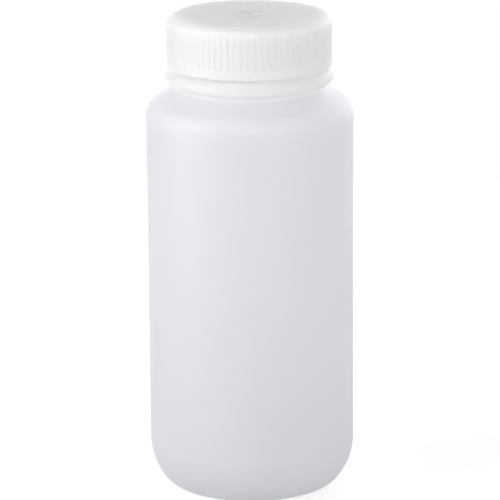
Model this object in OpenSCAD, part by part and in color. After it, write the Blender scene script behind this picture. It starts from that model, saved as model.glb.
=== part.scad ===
// Wide-mouth laboratory bottle with a ribbed screw cap and a sealing liner.
// Sizes are in millimetres. The origin is the centre of the ring that the bottle
// stands on, and +Z is up. The cap is drawn screwed home.

/* [Body] */
// Outside diameter of the body
body_d = 73; // [68:0.5:80]
// Height of the sealing land at the mouth above the standing face
bottle_h = 167.7; // [120:0.1:220]
// Thickness of the blown wall
wall = 1.3; // [1:0.1:2]
// Radius where the side wall turns into the shoulder
shoulder_r = 6.7; // [4:0.1:9]
// Slope of the shoulder between that radius and the neck, in degrees
shoulder_slope = 32; // [26:1:40]

/* [Base] */
// Height at which the side wall starts to turn in
heel_h = 16.5; // [13:0.5:19]
// Radius of the wide upper part of the heel
heel_side_r = 22; // [20:0.5:28]
// Radius of the tight lower part of the heel
heel_foot_r = 8; // [5:0.5:10]
// Width of the flat ring that the bottle stands on
foot_w = 2.6; // [1.5:0.1:5]
// Height of the push-up in the middle of the bottom
push_up_h = 2.4; // [1:0.1:5]

/* [Neck] */
// Diameter of the mouth
mouth_d = 44; // [38:0.5:45]
// Outside diameter of the neck between its threads
neck_d = 50.2; // [49.5:0.1:50.8]
// Radius of the outer edge of the sealing land
land_edge_r = 0.8; // [0.3:0.1:1.2]
// Diameter over the bead under the cap
bead_d = 58.9; // [57:0.1:61]
// Radius of the upper half of the bead
bead_r = 2.7; // [2:0.1:3.2]
// Radius of the lower half of the bead
bead_foot_r = 1.6; // [1:0.1:2]
// Slope of the bead's underside, in degrees
bead_draft = 20; // [5:1:30]
// Distance from the sealing land down to the middle of the bead
bead_drop = 19.4; // [19:0.1:21]
// Outside diameter of the neck below the bead
neck_foot_d = 52.8; // [52:0.1:54]
// Height of the straight groove between the bead and the shoulder
groove_h = 1.3; // [0.6:0.1:3]
// Thickness of the neck below the bead
neck_foot_wall = 2.2; // [1.8:0.1:2.6]

/* [Thread] */
// Diameter over the bottle's thread
thread_d = 52.9; // [52.4:0.1:53.2]
// Rise of the thread in one turn
pitch = 4.233; // [3.9:0.001:4.6]
// Turns of thread on the bottle
neck_turns = 1.5; // [1:0.25:1.75]
// Turns of thread in the cap
cap_turns = 1.25; // [1:0.25:1.5]
// Distance from the sealing land down to the top end of the bottle's thread
thread_drop = 3.6; // [3:0.1:4.6]
// Distance from the cap's rim up to the bottom end of the cap's thread
cap_thread_rise = 3.4; // [2.6:0.1:4]
// Width of a thread's crest
crest_w = 1; // [0.7:0.05:1.1]
// Angle of a thread's flanks to the horizontal, in degrees
flank = 25; // [15:1:28]
// Clearance between a thread's crest and the wall that it faces
thread_gap = 0.4; // [0.3:0.05:0.6]
// Clearance between the loaded flanks
flank_gap = 0.25; // [0.15:0.05:0.4]

/* [Cap] */
// Outside diameter of the cap
cap_d = 58; // [57.2:0.1:61]
// Depth of the cap inside, from its rim to its top wall
cap_depth = 16.4; // [15:0.1:16.8]
// Thickness of the cap's top wall
cap_top = 1.7; // [1.3:0.1:2.6]
// Radius of the cap's top edge
cap_edge_r = 3.3; // [2.2:0.1:3.6]
// Radius of the rim's outer edge
rim_edge_r = 0.9; // [0.2:0.1:1.2]
// Number of ribs around the cap
rib_count = 78; // [48:1:120]
// Depth of the grooves between the ribs
rib_depth = 0.4; // [0.2:0.05:0.6]
// Height of the plain band at the cap's rim
band_h = 3.3; // [1.5:0.1:5]
// Outside diameter of the raised ring on the cap's top
ring_d = 10.6; // [7:0.2:24]
// Width of that ring
ring_w = 0.9; // [0.5:0.1:1.6]
// Height of that ring
ring_h = 0.25; // [0.1:0.05:0.5]
// Diameter of the gate mark in the middle of the cap's top
gate_d = 2.8; // [1.6:0.1:4]
// Depth of the gate mark
gate_depth = 0.3; // [0.1:0.05:0.6]

/* [Liner] */
// Thickness of the liner
liner_t = 1; // [0.6:0.1:1.6]
// Clearance between the liner's edge and the cap's wall
liner_gap = 0.3; // [0.2:0.05:0.6]

/* [Hidden] */
$fn = 180;
ARC_STEPS = 10;          // straight steps along each arc of an outline
THREAD_STEPS = 60;       // straight steps in one turn of thread
RUN_OUT = 30;            // degrees over which a thread rises from its wall
SINK = 0.5;              // how far a thread's foot is sunk into its wall
CUT = 1;                 // how far a cutting shape reaches past what it cuts

body_r = body_d / 2;
mouth_r = mouth_d / 2;
neck_r = neck_d / 2;
neck_foot_r = neck_foot_d / 2;
neck_inner_r = neck_foot_r - neck_foot_wall;
thread_r = thread_d / 2;
cap_r = cap_d / 2;

// The heel's two radii meet on the line through their centres.
heel_in = heel_side_r - sqrt(pow(heel_side_r - heel_foot_r, 2) - pow(heel_h - heel_foot_r, 2));
heel_side_c = [body_r - heel_side_r, heel_h];
heel_foot_c = [body_r - heel_in, heel_foot_r];
heel_turn = atan2(heel_foot_c[1] - heel_side_c[1], heel_foot_c[0] - heel_side_c[0]);
push_up_r = body_r - heel_in - foot_w;
dome_r = (pow(push_up_r, 2) + pow(push_up_h, 2)) / (2 * push_up_h);
dome_c = [0, push_up_h - dome_r];

// The bead's underside slopes in to the neck, and the shoulder starts a groove's
// height under that.
bead_z = bottle_h - bead_drop;
bead_c = [bead_d / 2 - bead_r, bead_z];
bead_foot_c = [bead_d / 2 - bead_foot_r, bead_z];
bead_foot_turn = 90 - bead_draft;
bead_foot_end = bead_foot_c + bead_foot_r * [cos(bead_foot_turn), -sin(bead_foot_turn)];
groove_top_z = bead_foot_end[1] - (bead_foot_end[0] - neck_foot_r) * tan(bead_draft);
neck_foot_z = groove_top_z - groove_h;
shoulder_turn = 90 - shoulder_slope;
shoulder_c = [
    body_r - shoulder_r,
    neck_foot_z - (shoulder_r + (body_r - shoulder_r - neck_foot_r) * sin(shoulder_slope))
        / cos(shoulder_slope)
];
// Where the inside of the shoulder reaches the inside of the neck
shoulder_in_z = neck_foot_z - wall / cos(shoulder_slope)
    + (neck_foot_r - neck_inner_r) * tan(shoulder_slope);
neck_step_z = bead_z;

// The cap bears on the liner, and the liner on the sealing land.
cap_in_z = bottle_h + liner_t;
cap_rim_z = cap_in_z - cap_depth;
cap_top_z = cap_in_z + cap_top;
cap_bore_r = thread_r + thread_gap;
cap_crest_r = neck_r + thread_gap;
liner_r = cap_bore_r - liner_gap;

// Both threads lie on one helix rule, so the cap's thread keeps its clearance all the way.
neck_thread_z = bottle_h - thread_drop - neck_turns * pitch;
flank_step = crest_w + (thread_r - cap_crest_r) * tan(flank) + flank_gap;
cap_thread_z = cap_rim_z + cap_thread_rise;
cap_thread_start = 360 * (cap_thread_z + flank_step - neck_thread_z) / pitch;

// Points of an arc about c, from angle a to angle b.
function arc(c, r, a, b) =
    [for (i = [0:ARC_STEPS]) let(t = a + (b - a) * i / ARC_STEPS) c + r * [cos(t), sin(t)]];

// The shoulder, side wall, heel and push-up, set in by t from the outside.
function body_line(t) = concat(
    arc(shoulder_c, shoulder_r - t, shoulder_turn, 0),
    arc(heel_side_c, heel_side_r - t, 0, heel_turn),
    arc(heel_foot_c, heel_foot_r - t, heel_turn, -90),
    arc(dome_c, dome_r + t, 90 - asin(push_up_r / (dome_r + t)), 90)
);

function reversed(list) = [for (i = [len(list) - 1:-1:0]) list[i]];

function bottle_line() = concat(
    [[mouth_r, bottle_h]],
    arc([neck_r - land_edge_r, bottle_h - land_edge_r], land_edge_r, 90, 0),
    [[neck_r, bead_z + bead_r]],
    arc(bead_c, bead_r, 90, 0),
    arc(bead_foot_c, bead_foot_r, 0, -bead_foot_turn),
    [[neck_foot_r, groove_top_z], [neck_foot_r, neck_foot_z]],
    body_line(0),
    reversed(body_line(wall)),
    [
        [neck_inner_r, shoulder_in_z],
        [neck_inner_r, neck_step_z],
        [mouth_r, neck_step_z + neck_inner_r - mouth_r]
    ]
);

// A thread along a helix. foot_r is its wall and crest_r its crest, so it stands
// outwards or inwards, and it starts start degrees around at height z.
module thread(foot_r, crest_r, start, z, turns) {
    steps = round(turns * THREAD_STEPS);
    out = sign(crest_r - foot_r);
    sunk_r = foot_r - out * SINK;
    function height(t) = min(1, t / RUN_OUT, (turns * 360 - t) / RUN_OUT);
    function section(t) =
        let(
            tip_r = foot_r + (crest_r - foot_r) * height(t) - out * SINK / 2 * (1 - height(t)),
            half = crest_w / 2,
            foot_half = half + abs(tip_r - sunk_r) * tan(flank)
        )
        [[sunk_r, -foot_half], [tip_r, -half], [tip_r, half], [sunk_r, foot_half]];
    points = [
        for (i = [0:steps], p = section(360 * turns * i / steps))
            let(t = 360 * turns * i / steps)
            [p[0] * cos(start + t), p[0] * sin(start + t), z + p[1] + pitch * t / 360]
    ];
    sides = [
        for (i = [0:steps - 1], k = [0:3])
            let(a = 4 * i + k, b = 4 * i + (k + 1) % 4)
            out > 0 ? [b, b + 4, a + 4, a] : [a, a + 4, b + 4, b]
    ];
    last = 4 * steps;
    ends = out > 0
        ? [[3, 2, 1, 0], [last, last + 1, last + 2, last + 3]]
        : [[0, 1, 2, 3], [last + 3, last + 2, last + 1, last]];
    polyhedron(points, concat(sides, ends), convexity = 8);
}

module bottle() {
    color([0.93, 0.94, 0.95]) union() {
        rotate_extrude() polygon(bottle_line());
        thread(neck_r, thread_r, 0, neck_thread_z, neck_turns);
    }
}

module cap_liner() {
    color([0.97, 0.97, 0.95]) translate([0, 0, bottle_h]) cylinder(r = liner_r, h = liner_t);
}

// The cap's outside with its two edges rounded, before its ribs
module cap_blank() {
    rotate_extrude() polygon(concat(
        [[0, cap_rim_z]],
        arc([cap_r - rim_edge_r, cap_rim_z + rim_edge_r], rim_edge_r, -90, 0),
        arc([cap_r - cap_edge_r, cap_top_z - cap_edge_r], cap_edge_r, 0, 90),
        [[0, cap_top_z]]
    ));
}

// Ribs with sharp crests that stand past the blank, which cuts them to its own round
module rib_prism() {
    root_r = cap_r - rib_depth;
    tip_r = cap_r + rib_depth / 2;
    translate([0, 0, cap_rim_z + band_h])
        linear_extrude(cap_depth + cap_top)
            polygon([
                for (i = [0:2 * rib_count - 1])
                    let(r = i % 2 == 0 ? tip_r : root_r, t = 180 * i / rib_count)
                    r * [cos(t), sin(t)]
            ]);
}

module screw_cap() {
    color([0.95, 0.95, 0.93]) difference() {
        union() {
            intersection() {
                cap_blank();
                union() {
                    translate([0, 0, cap_rim_z - CUT]) cylinder(r = cap_r + CUT, h = band_h + CUT);
                    rib_prism();
                }
            }
            translate([0, 0, cap_top_z - CUT]) difference() {
                cylinder(d = ring_d, h = ring_h + CUT);
                translate([0, 0, -CUT]) cylinder(d = ring_d - 2 * ring_w, h = ring_h + 3 * CUT);
            }
        }
        difference() {
            translate([0, 0, cap_rim_z - CUT]) cylinder(r = cap_bore_r, h = cap_depth + CUT);
            thread(cap_bore_r, cap_crest_r, cap_thread_start, cap_thread_z, cap_turns);
        }
        translate([0, 0, cap_top_z - gate_depth]) cylinder(d = gate_d, h = gate_depth + CUT);
    }
}

bottle();
cap_liner();
screw_cap();
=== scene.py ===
# %% [markdown]
# # A wide-mouth laboratory bottle in natural plastic
#
# The object has three pieces: a blow-moulded bottle, a screw cap with fine ribs, and the
# sealing disc inside the cap. All three are round, so this lesson turns outlines around an
# axis. It spends most of its effort on two things that make such a plain object look real:
# small radii on every edge, and a milky plastic that takes in light and passes some on.
#
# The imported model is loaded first. It fixes where every piece is, and nothing below moves it.

# %% Load the fixed model
import math

import bpy
import numpy as np
from mathutils import Matrix, Vector


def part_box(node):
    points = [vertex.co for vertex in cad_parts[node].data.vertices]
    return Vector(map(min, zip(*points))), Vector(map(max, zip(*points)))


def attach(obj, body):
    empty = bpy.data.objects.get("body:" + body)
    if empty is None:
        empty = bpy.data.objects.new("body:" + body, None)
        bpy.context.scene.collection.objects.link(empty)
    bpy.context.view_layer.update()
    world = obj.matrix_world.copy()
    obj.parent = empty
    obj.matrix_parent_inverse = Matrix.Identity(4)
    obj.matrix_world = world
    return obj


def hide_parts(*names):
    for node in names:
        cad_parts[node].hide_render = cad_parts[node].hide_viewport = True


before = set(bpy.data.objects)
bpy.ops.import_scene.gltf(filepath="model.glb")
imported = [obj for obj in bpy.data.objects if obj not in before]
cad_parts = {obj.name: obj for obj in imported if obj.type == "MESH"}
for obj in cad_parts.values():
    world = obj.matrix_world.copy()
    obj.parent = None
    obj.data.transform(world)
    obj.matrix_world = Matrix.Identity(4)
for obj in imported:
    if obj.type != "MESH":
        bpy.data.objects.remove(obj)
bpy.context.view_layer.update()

# %% [markdown]
# ## Millimetres
#
# Blender works in metres here, and a moulder thinks in millimetres. Every size below is
# written in millimetres and turned into metres in one place, when a mesh is made. The main
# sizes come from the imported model, so that the dressed pieces stay where it is.

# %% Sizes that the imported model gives
MM = 0.001


def node_size(node):
    """A node's outer radius, lowest and highest point, in millimetres."""
    low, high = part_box(node)
    return high.x / MM, low.z / MM, high.z / MM


body_r, stand_z, land_z = node_size("bottle")
cap_r, rim_z, cap_peak_z = node_size("screw_cap")
liner_r, liner_z, cap_in_z = node_size("cap_liner")
print(f"bottle: radius {body_r:.2f}, from {stand_z:.2f} to {land_z:.2f} mm")
print(f"cap: radius {cap_r:.2f}, from {rim_z:.2f} to {cap_peak_z:.2f} mm")
print(f"disc: radius {liner_r:.2f}, from {liner_z:.2f} to {cap_in_z:.2f} mm")

# %% [markdown]
# ## The camera
#
# A long lens far away keeps the bottle's sides parallel, as in a catalogue picture. The
# camera looks down by about 15 degrees, enough to show the cap's top as a thin ellipse.
# It is placed by three facts: the point it looks at, how far away it is, and its tilt.
# How large the object shows fixes the lens: so many pixels to the millimetre at that distance.

# %% Place the camera
RENDER_PX = 500
SENSOR_MM = 36.0
LOOK_DOWN = math.radians(14.85)
LEAN = math.radians(0.43)          # the camera rolls by this much, so the bottle leans left
DISTANCE_MM = 1225.0
PX_PER_MM = 2.81
LOOK_AT_MM = Vector((-0.285, 0.0, 85.0))

forward = Vector((0.0, math.cos(LOOK_DOWN), -math.sin(LOOK_DOWN)))
level = Vector((1.0, 0.0, 0.0))
upward = level.cross(forward)
right = level * math.cos(LEAN) - upward * math.sin(LEAN)
up = level * math.sin(LEAN) + upward * math.cos(LEAN)

lens = bpy.data.cameras.new("camera")
lens.sensor_width = SENSOR_MM
lens.lens = PX_PER_MM * DISTANCE_MM * SENSOR_MM / RENDER_PX
lens.clip_start = 0.05
lens.clip_end = 20.0
camera = bpy.data.objects.new("camera", lens)
bpy.context.scene.collection.objects.link(camera)
place = (LOOK_AT_MM - forward * DISTANCE_MM) * MM
camera.matrix_world = Matrix((
    (right.x, up.x, -forward.x, place.x),
    (right.y, up.y, -forward.y, place.y),
    (right.z, up.z, -forward.z, place.z),
    (0, 0, 0, 1),
))
bpy.context.scene.camera = camera
bpy.context.scene.view_settings.view_transform = "Standard"
print(f"lens {lens.lens:.0f} mm at {DISTANCE_MM:.0f} mm")

# %% [markdown]
# ## Colours and nodes
#
# Colours are written as sRGB hex, the way a picture editor shows them. Blender's shaders
# add up light, so they need linear values, and one function does that conversion.
# Another one adds a shader node with its settings and links, so that each material
# below reads as a list of what it is made of.

# %% Helpers for materials
def linear(colour):
    """An sRGB hex colour as linear red, green, blue and alpha."""
    parts = [int(colour[i:i + 2], 16) / 255 for i in (1, 3, 5)]
    return [c / 12.92 if c <= 0.04045 else ((c + 0.055) / 1.055) ** 2.4 for c in parts] + [1.0]


def add(tree, kind, settings=None, **inputs):
    """Adds a node. Settings are its properties; inputs are values, or sockets to link from.

    An input is named as its socket is, with _ for a space, or i and its number, as in i0.
    """
    node = tree.nodes.new("ShaderNode" + kind)
    for key, value in (settings or {}).items():
        setattr(node, key, value)
    for key, value in inputs.items():
        numbered = key[0] == "i" and key[1:].isdigit()
        socket = node.inputs[int(key[1:])] if numbered else node.inputs[key.replace("_", " ")]
        if isinstance(value, bpy.types.NodeSocket):
            tree.links.new(value, socket)
        else:
            socket.default_value = value
    return node


def new_material(name):
    """An empty material and its node tree."""
    material = bpy.data.materials.new(name)
    material.use_nodes = True
    material.node_tree.nodes.clear()
    return material, material.node_tree


print("mid grey #808080 is", round(linear("#808080")[0], 3), "in linear light")

# %% [markdown]
# ## Surroundings
#
# A bottle like this is best shown in front of white. It must not be flooded with light for
# that, or its pale plastic turns into a white patch. Light Path tells a shader what kind
# of ray asks: rays from the camera, and mirror-like and see-through rays, get plain white,
# and the rays that light the bottle get a much calmer room.

# %% Surroundings
ROOM_LIGHT = 0.25                  # how bright the room is for the surfaces in it


def seen_directly(tree):
    """1 for rays from the camera, glossy rays and transmission rays, else 0."""
    path = add(tree, "LightPath")
    glossy = add(tree, "Math", {"operation": "MAXIMUM"}, i0=path.outputs["Is Camera Ray"],
                 i1=path.outputs["Is Glossy Ray"])
    both = add(tree, "Math", {"operation": "MAXIMUM"}, i0=glossy.outputs[0],
               i1=path.outputs["Is Transmission Ray"])
    return both.outputs[0]


world = bpy.data.worlds.new("studio")
bpy.context.scene.world = world
world.use_nodes = True
room = world.node_tree
room.nodes.clear()
strength = add(room, "MapRange", i0=seen_directly(room), i1=0.0, i2=1.0, i3=ROOM_LIGHT, i4=1.0)
backdrop = add(room, "Background", Color=linear("#FFFFFF"), Strength=strength.outputs[0])
add(room, "OutputWorld", Surface=backdrop.outputs[0])
print(f"room: white when seen, {ROOM_LIGHT} when it lights something")

# %% [markdown]
# ## Floor
#
# The bottle stands on a pale, matt board about as wide as a table. The same Light Path
# test splits its material. To the bottle it is a light grey that throws some light up
# from below, less and less towards the neck. To the camera it is nearly white and a
# little lifted, so that it meets the white room without a line. It stays a real surface,
# so it keeps the bottle's faint shadow.

# %% Floor
FLOOR_HALF_MM = 450.0
FLOOR_GREY = "#A6A6A6"             # what the floor throws back at the bottle
FLOOR_SEEN = "#F4F4F4"             # what the camera sees, before the lift
FLOOR_LIFT = 0.40                  # light added to the floor as the camera sees it

half = FLOOR_HALF_MM * MM
floor_mesh = bpy.data.meshes.new("floor")
floor_mesh.from_pydata([(-half, -half, 0), (half, -half, 0), (half, half, 0), (-half, half, 0)],
                       [], [(0, 1, 2, 3)])
floor = bpy.data.objects.new("floor", floor_mesh)
bpy.context.scene.collection.objects.link(floor)

floor_paint, tree = new_material("pale_matt_floor")
bounce = add(tree, "BsdfDiffuse", Color=linear(FLOOR_GREY))
shown = add(tree, "BsdfDiffuse", Color=linear(FLOOR_SEEN))
lift = add(tree, "Emission", Color=linear("#FFFFFF"), Strength=FLOOR_LIFT)
bright = add(tree, "AddShader", i0=shown.outputs[0], i1=lift.outputs[0])
choice = add(tree, "MixShader", i0=seen_directly(tree), i1=bounce.outputs[0], i2=bright.outputs[0])
add(tree, "OutputMaterial", Surface=choice.outputs[0])
floor_mesh.materials.append(floor_paint)
print(f"floor: {2 * FLOOR_HALF_MM:.0f} mm square")

# %% [markdown]
# ## Lights
#
# Four soft boxes stand around the bottle, one metre away. The key box on the left lights
# that flank and draws the long soft highlight. The wide front box, right of the camera,
# fills the rest. The rear box shines through the milky walls from behind, so that the
# plastic seems to glow. The rim box stands straight behind and skims the cap's flat top,
# which would go dull without it. It is slightly blue, as daylight from above is. Small
# lamps would leave hard bright spots on a satin skin, so all four are large.

# %% Lights
MIDDLE_MM = 85.0                   # the boxes face this height on the axis
BOX_AWAY_MM = 1000.0


def soft_box(name, azimuth, elevation, width_mm, height_mm, watts, colour="#FFFFFF"):
    """A rectangular soft box that faces the middle of the bottle.

    Azimuth 0 is the camera's side, and it grows to the right.
    """
    light = bpy.data.lights.new(name, "AREA")
    light.shape = "RECTANGLE"
    light.size = width_mm * MM
    light.size_y = height_mm * MM
    light.energy = watts
    light.color = linear(colour)[:3]
    a, e = math.radians(azimuth), math.radians(elevation)
    away = Vector((math.sin(a) * math.cos(e), -math.cos(a) * math.cos(e), math.sin(e)))
    lamp = bpy.data.objects.new(name, light)
    bpy.context.scene.collection.objects.link(lamp)
    lamp.location = Vector((0, 0, MIDDLE_MM * MM)) + away * BOX_AWAY_MM * MM
    lamp.rotation_euler = away.to_track_quat("Z", "Y").to_euler()
    print(f"{name}: {width_mm:.0f} x {height_mm:.0f} mm, {watts} W")


soft_box("key_box", -72, 12, 600, 1000, 9.9)
soft_box("front_box", 32, 8, 950, 950, 8.1)
soft_box("rear_box", 145, 15, 600, 800, 3.9)
soft_box("rim_box", 180, 15, 600, 800, 3.1, "#EAF1FF")

# %% [markdown]
# ## Drawing an outline
#
# A turner's way suits all three pieces: draw half of the section once, and turn it around
# the axis. An outline is a list of points, radius first and height second. Three helpers
# draw it: arcs, straight runs, and corners with a radius, since no moulded edge is sharp.

# %% Outline helpers
def arc(centre, radius, start, end, steps):
    """Points on an arc, angles in degrees."""
    angles = np.radians(np.linspace(start, end, steps + 1))
    return [(centre[0] + radius * math.cos(t), centre[1] + radius * math.sin(t)) for t in angles]


def straight(a, b, steps):
    """Points from a to b, both included."""
    return [(a[0] + (b[0] - a[0]) * i / steps, a[1] + (b[1] - a[1]) * i / steps)
            for i in range(steps + 1)]


def eased(before, corner, after, radius, steps=4):
    """The corner between two straight runs, rounded by a radius."""
    corner, before, after = (np.array(p, float) for p in (corner, before, after))
    u = (before - corner) / np.linalg.norm(before - corner)
    v = (after - corner) / np.linalg.norm(after - corner)
    half_angle = math.acos(max(-1.0, min(1.0, float(u @ v)))) / 2
    reach = radius / math.tan(half_angle)
    centre = corner + (u + v) / np.linalg.norm(u + v) * radius / math.sin(half_angle)
    first, last = corner + u * reach - centre, corner + v * reach - centre
    a, b = math.atan2(first[1], first[0]), math.atan2(last[1], last[0])
    b = a + (b - a + math.pi) % (2 * math.pi) - math.pi
    return [tuple(centre + radius * np.array((math.cos(t), math.sin(t))))
            for t in np.linspace(a, b, steps + 1)]


print("a 90 degree corner eased by 1 mm has", len(eased((0, 0), (5, 0), (5, 5), 1.0)), "points")

# %% [markdown]
# ## Turning it into a solid
#
# Blender's Screw modifier could turn the outline. A grid of our own lets a rule push
# single points in or out as well, which is how the ribs and the threads are made. The
# line starts and ends on the axis, so the result is one closed skin with no loose faces.

# %% Turning helper
SAME_POINT_MM = 1e-4
ON_WALL_MM = 1e-6                  # how near a radius counts as lying on a wall


def turned(name, line, columns, rule=None):
    """A closed mesh made by turning a line that starts and ends on the axis.

    rule(angle, r, z) gives each point's radius.
    """
    line = np.array([p for i, p in enumerate(line)
                     if i == 0 or math.dist(p, line[i - 1]) > SAME_POINT_MM])
    angle = np.linspace(0, 2 * math.pi, columns, endpoint=False)[None, :]
    r = np.repeat(line[1:-1, :1], columns, axis=1)
    z = np.repeat(line[1:-1, 1:], columns, axis=1)
    if rule:
        r = rule(angle, r, z)
    rings = np.stack([r * np.cos(angle), r * np.sin(angle), z], axis=2).reshape(-1, 3)
    points = np.vstack([[0, 0, line[0, 1]], rings, [0, 0, line[-1, 1]]]) * MM
    rows = len(line) - 2
    here = np.arange(columns)
    ahead = (here + 1) % columns
    faces = [(0, 1 + b, 1 + a) for a, b in zip(here, ahead)]
    for i in range(rows - 1):
        low, high = 1 + i * columns, 1 + (i + 1) * columns
        faces += zip(low + here, low + ahead, high + ahead, high + here)
    last, end = 1 + (rows - 1) * columns, len(points) - 1
    faces += [(last + a, last + b, end) for a, b in zip(here, ahead)]
    mesh = bpy.data.meshes.new(name)
    mesh.from_pydata(points.tolist(), [], [tuple(int(k) for k in f) for f in faces])
    mesh.shade_smooth()
    mesh.update()
    piece = bpy.data.objects.new(name, mesh)
    bpy.context.scene.collection.objects.link(piece)
    print(f"{name}: {len(mesh.vertices)} points, {len(mesh.polygons)} faces")
    return piece


# %% [markdown]
# ## The thread
#
# The neck and the cap share one screw thread. Seen in section it is a low trapezium with
# round edges, and around the neck it climbs by one pitch in a turn. Sweeping a profile
# along a helix would give a second mesh to join on. For a point of the wall it is enough
# to ask how far it is from the nearest turn of the helix, and to push it out by that much.

# %% Thread rule
PITCH = 4.233                      # six turns to the inch
CREST_W = 1.0
FLANK = math.radians(25)
RUN_OUT = 30 / 360                 # part of a turn over which a thread fades in and out
TURNS_TO_TRY = range(-4, 5)


def thread_height(angle, z, depth, start_turn, start_z, turns):
    """How far the thread stands out of its wall, in millimetres."""
    flank_w = depth * math.tan(FLANK)
    height = np.zeros(np.broadcast(angle, z).shape)
    first = angle / (2 * math.pi) - start_turn
    for k in TURNS_TO_TRY:
        t = first + k
        fade = np.clip(np.minimum(t, turns - t) / RUN_OUT, 0, 1)
        away = np.abs(z - start_z - PITCH * t)
        u = np.clip((CREST_W / 2 + flank_w - away) / flank_w, 0, 1)
        height = np.maximum(height, depth * fade * u * u * (3 - 2 * u))
    return height


print(f"thread: {PITCH} mm a turn, crest {CREST_W} mm wide")

# %% [markdown]
# ## The bottle
#
# The bottle is blown: a soft tube of polyethylene is pressed outwards against a cold
# mould, so its wall is thin, its outside follows the mould and every edge is round.
# From the bottom up it has a ring to stand on around a push-up, a heel in two radii,
# the side wall, the shoulder, a groove, a bead under the cap, and the threaded neck.
# It could be a cylinder that is pushed into shape by hand, but each of its widths and
# radii is a known size, so they are named first, and the places where arcs meet are
# worked out from them.

# %% Bottle sizes
WALL = 1.3
SHOULDER_R, SHOULDER_SLOPE = 6.7, 32.0
HEEL_H, HEEL_SIDE_R, HEEL_FOOT_R = 16.5, 22.0, 8.0
FOOT_W, PUSH_UP_H = 2.6, 2.4
MOUTH_R, NECK_R, LAND_EDGE_R = 22.0, 25.1, 0.8
BEAD_OUT_R, BEAD_DROP = 29.45, 19.4
BEAD_TOP_R, BEAD_FOOT_R, BEAD_DRAFT = 2.7, 1.6, 20.0
NECK_FOOT_R, GROOVE_H, NECK_FOOT_WALL = 26.4, 1.3, 2.2
GROOVE_FILLET = 0.8                # the mould's own radius in the corners of the groove
SHELF_FILLET, MOUTH_EDGE_R = 0.5, 0.5
STEP_FILLET, SHOULDER_IN_FILLET = 1.5, 0.6     # inside, where the blown wall turns gently
THREAD_R, NECK_TURNS, THREAD_DROP = 26.45, 1.5, 3.6
SEAM_H, SEAM_W = 0.07, 0.35        # the parting line where the two mould halves meet

heel_in = HEEL_SIDE_R - math.sqrt((HEEL_SIDE_R - HEEL_FOOT_R) ** 2 - (HEEL_H - HEEL_FOOT_R) ** 2)
heel_side_c = (body_r - HEEL_SIDE_R, HEEL_H)
heel_foot_c = (body_r - heel_in, HEEL_FOOT_R)
heel_turn = math.degrees(math.atan2(heel_foot_c[1] - heel_side_c[1],
                                    heel_foot_c[0] - heel_side_c[0]))
push_up_r = body_r - heel_in - FOOT_W
dome_r = (push_up_r ** 2 + PUSH_UP_H ** 2) / (2 * PUSH_UP_H)
bead_z = land_z - BEAD_DROP
bead_foot_c = (BEAD_OUT_R - BEAD_FOOT_R, bead_z)
draft = math.radians(BEAD_DRAFT)
bead_foot_end = (bead_foot_c[0] + BEAD_FOOT_R * math.sin(draft),
                 bead_z - BEAD_FOOT_R * math.cos(draft))
groove_top_z = bead_foot_end[1] - (bead_foot_end[0] - NECK_FOOT_R) * math.tan(draft)
neck_foot_z = groove_top_z - GROOVE_H
slope = math.radians(SHOULDER_SLOPE)
slope_w = body_r - SHOULDER_R - NECK_FOOT_R
shoulder_c = (body_r - SHOULDER_R,
              neck_foot_z - (SHOULDER_R + slope_w * math.sin(slope)) / math.cos(slope))
print(f"shoulder from {shoulder_c[1]:.1f}, groove at {neck_foot_z:.1f}, bead at {bead_z:.1f} mm")

# %% [markdown]
# The outline runs up the outside from the middle of the push-up to the sealing land, and
# down the inside again. A blown wall is about as thick everywhere along the body, so the
# inside reuses the body's line with its arcs set in by the wall.

# %% Bottle outline
def body_line(inset):
    """From the push-up's middle over the heel and up to the shoulder's top, set in by the wall."""
    dome_c = (0.0, PUSH_UP_H - dome_r)
    edge = 90 - math.degrees(math.asin(push_up_r / (dome_r + inset)))
    return (arc(dome_c, dome_r + inset, 90, edge, 8)
            + arc(heel_foot_c, HEEL_FOOT_R - inset, -90, heel_turn, 10)
            + arc(heel_side_c, HEEL_SIDE_R - inset, heel_turn, 0, 12)
            + straight((body_r - inset, HEEL_H), (body_r - inset, shoulder_c[1]), 24)
            + arc(shoulder_c, SHOULDER_R - inset, 0, 90 - SHOULDER_SLOPE, 12))


neck_inner_r = NECK_FOOT_R - NECK_FOOT_WALL
shoulder_in_z = (neck_foot_z - WALL / math.cos(slope)
                 + (NECK_FOOT_R - neck_inner_r) * math.tan(slope))
cone_low = body_line(0)[-1]
groove_low, groove_top = (NECK_FOOT_R, neck_foot_z), (NECK_FOOT_R, groove_top_z)
shelf_z = bead_z + BEAD_TOP_R
step_top, step_low = (MOUTH_R, bead_z + neck_inner_r - MOUTH_R), (neck_inner_r, bead_z)

outside = (body_line(0)
           + eased(cone_low, groove_low, groove_top, GROOVE_FILLET, 6)
           + eased(groove_low, groove_top, bead_foot_end, GROOVE_FILLET, 6)
           + arc(bead_foot_c, BEAD_FOOT_R, BEAD_DRAFT - 90, 0, 12)
           + arc((BEAD_OUT_R - BEAD_TOP_R, bead_z), BEAD_TOP_R, 0, 90, 16)
           + eased((BEAD_OUT_R, shelf_z), (NECK_R, shelf_z), (NECK_R, land_z), SHELF_FILLET)
           + straight((NECK_R, shelf_z + 0.6), (NECK_R, land_z - LAND_EDGE_R), 76)
           + arc((NECK_R - LAND_EDGE_R, land_z - LAND_EDGE_R), LAND_EDGE_R, 0, 90, 5))
inside = (arc((MOUTH_R + MOUTH_EDGE_R, land_z - MOUTH_EDGE_R), MOUTH_EDGE_R, 90, 180, 4)
          + eased((MOUTH_R, land_z), step_top, step_low, STEP_FILLET)
          + eased(step_top, step_low, (neck_inner_r, bead_z - 5), STEP_FILLET)
          + eased(step_low, (neck_inner_r, shoulder_in_z), body_line(WALL)[-1], SHOULDER_IN_FILLET)
          + body_line(WALL)[::-1])
print(f"bottle outline: {len(outside)} points outside, {len(inside)} inside")

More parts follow.
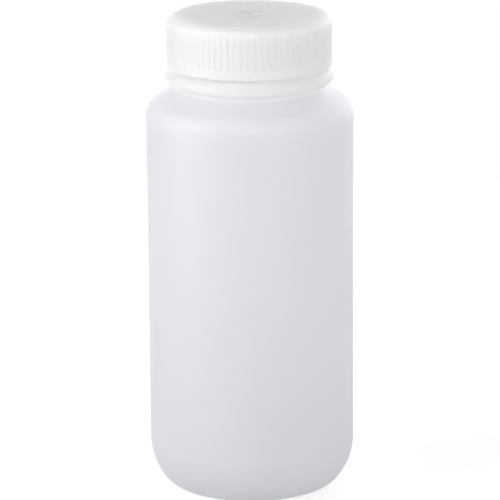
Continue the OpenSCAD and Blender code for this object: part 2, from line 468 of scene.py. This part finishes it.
# %% [markdown]
# Two things on the bottle aren't round: the thread on the neck, and the fine parting line
# that runs up both sides where the halves of the mould meet. Both go into the rule. The
# body is set in by the line's height first, so that the line ends at the full radius.

# %% Turn the bottle
BOTTLE_COLUMNS = 340
SEAM_FROM_Z, SEAM_REACH = 2.0, 12.0    # it starts above the foot and runs in this far
thread_z = land_z - THREAD_DROP - NECK_TURNS * PITCH


def bottle_rule(angle, r, z):
    """The neck's straight wall gets its thread, and both sides of the body a parting line."""
    on_neck = np.abs(r - NECK_R) < ON_WALL_MM
    thread = thread_height(angle, z, THREAD_R - NECK_R, 0.0, thread_z, NECK_TURNS)
    r = np.where(on_neck, r + thread, r)
    side = np.abs(np.sin(angle)) * r / (SEAM_W / 2)
    on_body = (r > body_r - SEAM_REACH) & (z < neck_foot_z) & (z > SEAM_FROM_Z)
    seam = SEAM_H * np.exp(-side ** 2)
    outer = np.zeros(r.shape, bool)
    outer[:len(outside) - 1] = True
    return np.where(on_body & outer, r - SEAM_H + seam, r)


bottle = turned("bottle_blown", outside + inside, BOTTLE_COLUMNS, bottle_rule)

# %% [markdown]
# ## The screw cap
#
# The cap is injection-moulded polypropylene: a flat top, a round edge, and a skirt with
# fine ribs for grip that stop above a plain band at the rim. The mould cuts shallow
# grooves between broad crests, and they fade out by themselves where the top edge curves
# in. A low ring and a small dimple mark where the plastic was let into the mould.

# %% Cap sizes
CAP_TOP, CAP_EDGE_R, RIM_EDGE_R = 1.7, 3.3, 0.9
RIBS, RIB_DEPTH, BAND_H, RIB_START_H = 78, 0.3, 3.3, 0.4
RING_R, RING_W, RING_H = 5.3, 0.9, 0.25
GATE_R, GATE_DEPTH = 1.4, 0.3
RING_EDGE_R, GATE_EDGE_R = 0.1, 0.12
CORNER_IN_R, BORE_EDGE_R = 0.5, 0.35
THREAD_GAP, FLANK_GAP = 0.4, 0.25
CAP_TURNS, CAP_THREAD_RISE = 1.25, 3.4
cap_bore_r = THREAD_R + THREAD_GAP
cap_crest_r = NECK_R + THREAD_GAP
cap_top_z = cap_in_z + CAP_TOP
ring_in_r = RING_R - RING_W
ring_top_z, gate_z = cap_top_z + RING_H, cap_top_z - GATE_DEPTH
print(f"cap bore {cap_bore_r:.2f} mm, ribs {2 * math.pi * cap_r / RIBS:.2f} mm apart")

# %% [markdown]
# The cap's line starts inside, under its top, runs down the bore, around the rim, up the
# ribbed skirt and over the edge to the middle of the top. The rows near the band's end lie
# close together, so that the grooves can start there within half a millimetre.

# %% Cap outline
cap_inside = ([(0.0, cap_in_z)]
              + eased((0, cap_in_z), (cap_bore_r, cap_in_z), (cap_bore_r, rim_z), CORNER_IN_R)
              + straight((cap_bore_r, cap_in_z - 0.6), (cap_bore_r, rim_z + 0.5), 50)
              + eased((cap_bore_r, cap_in_z), (cap_bore_r, rim_z), (cap_r, rim_z), BORE_EDGE_R))
skirt = (eased((cap_bore_r, rim_z), (cap_r, rim_z), (cap_r, cap_top_z), RIM_EDGE_R, 8)
         + straight((cap_r, rim_z + 1.1), (cap_r, rim_z + BAND_H - 0.2), 3)
         + straight((cap_r, rim_z + BAND_H), (cap_r, rim_z + BAND_H + RIB_START_H), 3)
         + straight((cap_r, rim_z + BAND_H + 0.6), (cap_r, cap_top_z - CAP_EDGE_R), 10)
         + arc((cap_r - CAP_EDGE_R, cap_top_z - CAP_EDGE_R), CAP_EDGE_R, 0, 90, 16))
ring_foot, ring_edge = (RING_R + 0.1, cap_top_z), (RING_R - 0.05, ring_top_z)
ring_edge_in, ring_foot_in = (ring_in_r + 0.05, ring_top_z), (ring_in_r - 0.1, cap_top_z)
gate_lip, gate_foot = (GATE_R + 0.1, cap_top_z), (GATE_R - 0.1, gate_z)
gate_stub = [(0.5, gate_z), (0.35, gate_z + 0.12), (0.0, gate_z + 0.15)]   # where it broke off
face = (straight((cap_r - CAP_EDGE_R - 0.5, cap_top_z), (RING_R + 0.6, cap_top_z), 8)
        + eased((cap_r, cap_top_z), ring_foot, ring_edge, RING_EDGE_R, 2)
        + eased(ring_foot, ring_edge, (ring_in_r, ring_top_z), RING_EDGE_R, 2)
        + eased((RING_R, ring_top_z), ring_edge_in, ring_foot_in, RING_EDGE_R, 2)
        + eased(ring_edge_in, ring_foot_in, (0, cap_top_z), RING_EDGE_R, 2)
        + eased((RING_R, cap_top_z), gate_lip, gate_foot, GATE_EDGE_R, 3)
        + eased(gate_lip, gate_foot, (0, gate_z), GATE_EDGE_R, 3)
        + gate_stub)
print(f"cap outline: {len(cap_inside) + len(skirt) + len(face)} points")

# %% [markdown]
# The rule gives the bore its thread and the skirt its ribs. Each point of the skirt keeps
# the smaller of two radii, the blank's and the rib's, so the round top edge cuts the
# grooves off where it falls below them, just as it does on the real cap. Ribs joined on
# as bars, or cut with a Boolean, would leave seams; moving the skirt's own points doesn't.

# %% Turn the cap
COLUMNS_PER_RIB = 9
OUTSIDE_FROM = 0.8                 # a point this far out from the bore is on the outside
cap_thread_z = rim_z + CAP_THREAD_RISE
flank_step = CREST_W + (THREAD_R - cap_crest_r) * math.tan(FLANK) + FLANK_GAP
cap_thread_turn = (cap_thread_z + flank_step - thread_z) / PITCH


def cap_rule(angle, r, z):
    """The bore gets its thread, and the skirt gets its ribs wherever they lie inside the blank."""
    on_bore = np.abs(r - cap_bore_r) < ON_WALL_MM
    thread = thread_height(angle, z, cap_bore_r - cap_crest_r, cap_thread_turn % 1,
                           cap_thread_z, CAP_TURNS)
    r = np.where(on_bore, r - thread, r)
    across = np.abs(2 * ((angle * RIBS / (2 * math.pi)) % 1) - 1)      # 1 on a crest, 0 in a groove
    rib_r = cap_r - RIB_DEPTH * (1 - across) ** 2
    fade = np.clip((z - rim_z - BAND_H) / RIB_START_H, 0, 1)
    limit = cap_r + (rib_r - cap_r) * fade
    outer = r > cap_bore_r + OUTSIDE_FROM
    return np.where(outer & (z > rim_z + BAND_H - ON_WALL_MM), np.minimum(r, limit), r)


cap = turned("screw_cap_moulded", cap_inside + skirt + face, RIBS * COLUMNS_PER_RIB, cap_rule)

# %% [markdown]
# ## The sealing disc
#
# The cap presses a thin disc of soft polyethylene onto the mouth. It is punched from
# sheet, so its faces are flat and only its edges are a little rounded. A cylinder with a
# bevel would do as well; turning it keeps one way of making for all three pieces.

# %% Turn the disc
LINER_EDGE_R = 0.2
LINER_COLUMNS = 180
liner = turned("sealing_disc",
               [(0.0, liner_z)]
               + straight((6.0, liner_z), (liner_r - 1.0, liner_z), 4)
               + eased((0, liner_z), (liner_r, liner_z), (liner_r, cap_in_z), LINER_EDGE_R)
               + eased((liner_r, liner_z), (liner_r, cap_in_z), (0, cap_in_z), LINER_EDGE_R)
               + straight((liner_r - 1.0, cap_in_z), (6.0, cap_in_z), 4)
               + [(0.0, cap_in_z)], LINER_COLUMNS)

# %% [markdown]
# ## Milky plastic
#
# Polyethylene and polypropylene without pigment are milky: tiny crystals in them scatter
# light. Some of it spreads inside the wall and comes back out, which Subsurface does, and
# some passes right through, which a Translucent shader does. The outer face mixes the two.
# The back face, met by a ray that is already in the wall, only passes light on, so that
# light crosses the wall once and isn't dimmed twice. Glass-like transmission would show
# what is behind the wall, and this plastic shows only its glow.
#
# Two patterns break the evenness. Faint clouds in the colour, some centimetres wide, come
# from how the melt flowed. A fine grain on the skin comes from the mould, which is
# blasted with grit.

# %% Milky plastic
SCATTER_RGB = (1.0, 0.95, 0.9)     # red light goes a little deeper than blue
SCATTER_SHARE = 0.5                # how much of the outer face's light spreads inside
GRAIN_STRENGTH = 0.5


def milky_plastic(name, colour, cloud_colour, cloud_mm, grain_mm, grain_depth_mm,
                  roughness, ior, depth_mm, passes, painted_light_band=None):
    """Unpigmented plastic. passes is the share of light that goes through the outer face.

    The last argument, if given, is (from height, to height, colour) where the wall gets thick. Above it the
    colour turns whiter, partly for the thicker wall and mostly as painted light on the shoulder and neck.
    """
    material, tree = new_material(name)
    where = add(tree, "TexCoord").outputs["Object"]
    clouds = add(tree, "TexNoise", Vector=where, Scale=1 / (cloud_mm * MM), Detail=3.0, Roughness=0.5)
    tint = add(tree, "Mix", {"data_type": "RGBA"}, i0=clouds.outputs[0],
               i6=linear(colour), i7=linear(cloud_colour)).outputs[2]
    # Painted light: above the band the colour turns whiter, so the shoulder and neck look brighter than
    # their lighting makes them.
    if painted_light_band:
        height = add(tree, "SeparateXYZ", Vector=where).outputs["Z"]
        amount = add(tree, "MapRange", {"interpolation_type": "SMOOTHSTEP"}, i0=height,
                     i1=painted_light_band[0] * MM, i2=painted_light_band[1] * MM, i3=0.0, i4=1.0)
        tint = add(tree, "Mix", {"data_type": "RGBA"}, i0=amount.outputs[0], i6=tint,
                   i7=linear(painted_light_band[2])).outputs[2]
    grain = add(tree, "TexNoise", Vector=where, Scale=1 / (grain_mm * MM), Detail=2.0, Roughness=0.6)
    skin = add(tree, "Bump", Strength=GRAIN_STRENGTH, Distance=grain_depth_mm * MM, Height=grain.outputs[0])
    plastic = add(tree, "BsdfPrincipled", Base_Color=tint, Roughness=roughness, IOR=ior,
                  Subsurface_Weight=SCATTER_SHARE, Subsurface_Scale=depth_mm * MM, Normal=skin.outputs[0])
    plastic.inputs["Subsurface Radius"].default_value = SCATTER_RGB
    through = add(tree, "BsdfTranslucent", Color=tint)
    inner_face = add(tree, "NewGeometry").outputs["Backfacing"]
    share = add(tree, "MapRange", i0=inner_face, i1=0.0, i2=1.0, i3=passes, i4=1.0)
    both = add(tree, "MixShader", i0=share.outputs[0], i1=plastic.outputs[0], i2=through.outputs[0])
    add(tree, "OutputMaterial", Surface=both.outputs[0])
    print(f"{name}: roughness {roughness}, IOR {ior}, passes {passes:.0%} of the light")
    return material


# %% [markdown]
# ## Natural polyethylene, blown
#
# The bottle is high-density polyethylene, IOR 1.54, whitish with a trace of blue. Its
# skin copies a finely blasted mould, so it is satin and never mirror-like. In the
# shoulder and the neck the tube was stretched least, so the wall is thicker there. The
# colour above the shoulder is painted a shade whiter, partly for that thicker wall and
# mostly as painted light that brightens the shoulder and the groove.

# %% Polyethylene
polyethylene = milky_plastic(
    "natural_hdpe_blown", "#ECECEE", "#E9EAEB",
    cloud_mm=30, grain_mm=0.6,         # real grit is about 0.2 mm, too fine to show here
    grain_depth_mm=0.02, roughness=0.42, ior=1.54, depth_mm=1.2, passes=0.50,
    # Painted light: the colour turns whiter from 137 to 141 mm up and stays so to the neck.
    painted_light_band=(137.0, 141.0, "#EEEEEF"))

# %% [markdown]
# ## Natural polypropylene, moulded
#
# The cap is polypropylene, IOR 1.49. It was injected against finely ground steel, so it
# has about the bottle's soft sheen. It is thicker than the bottle's wall and passes less
# light, and to the eye it is a warmer, whiter white.

# %% Polypropylene
polypropylene = milky_plastic(
    "natural_pp_moulded", "#F6F6F5", "#F3F3F2",
    cloud_mm=25, grain_mm=0.4,         # tool marks of about 0.1 mm, drawn coarser to show
    grain_depth_mm=0.01, roughness=0.42, ior=1.49, depth_mm=0.6, passes=0.40)

# %% [markdown]
# ## Soft polyethylene sheet
#
# The disc is low-density polyethylene, IOR 1.51, rolled into sheet. It is softer and more
# matt than the other two, and nearly opaque against the cap. It shows only when the cap
# is off.

# %% Soft sheet
soft_sheet = milky_plastic(
    "soft_ldpe_sheet", "#F2F2EE", "#EEEEE9",
    cloud_mm=12, grain_mm=0.3,         # the rollers' grain of about 0.1 mm, drawn coarser
    grain_depth_mm=0.01, roughness=0.55, ior=1.51, depth_mm=0.5, passes=0.2)

# %% [markdown]
# ## Dress the pieces
#
# Each piece gets its material, rides on the body that moves it, and takes the place of
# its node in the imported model. The cap turns and rises with its body, and the disc only
# rises, so each has to ride on its own.

# %% Dress the pieces
for piece, body, node, slot, material in (
    (bottle, "bottle", "bottle", "natural_polyethylene", polyethylene),
    (cap, "cap", "screw_cap", "natural_polypropylene", polypropylene),
    (liner, "liner", "cap_liner", "soft_polyethylene", soft_sheet),
):
    piece.data.materials.append(material)
    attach(piece, body)
    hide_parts(node)
    print(f"{piece.name} rides on {body} and replaces {node}")
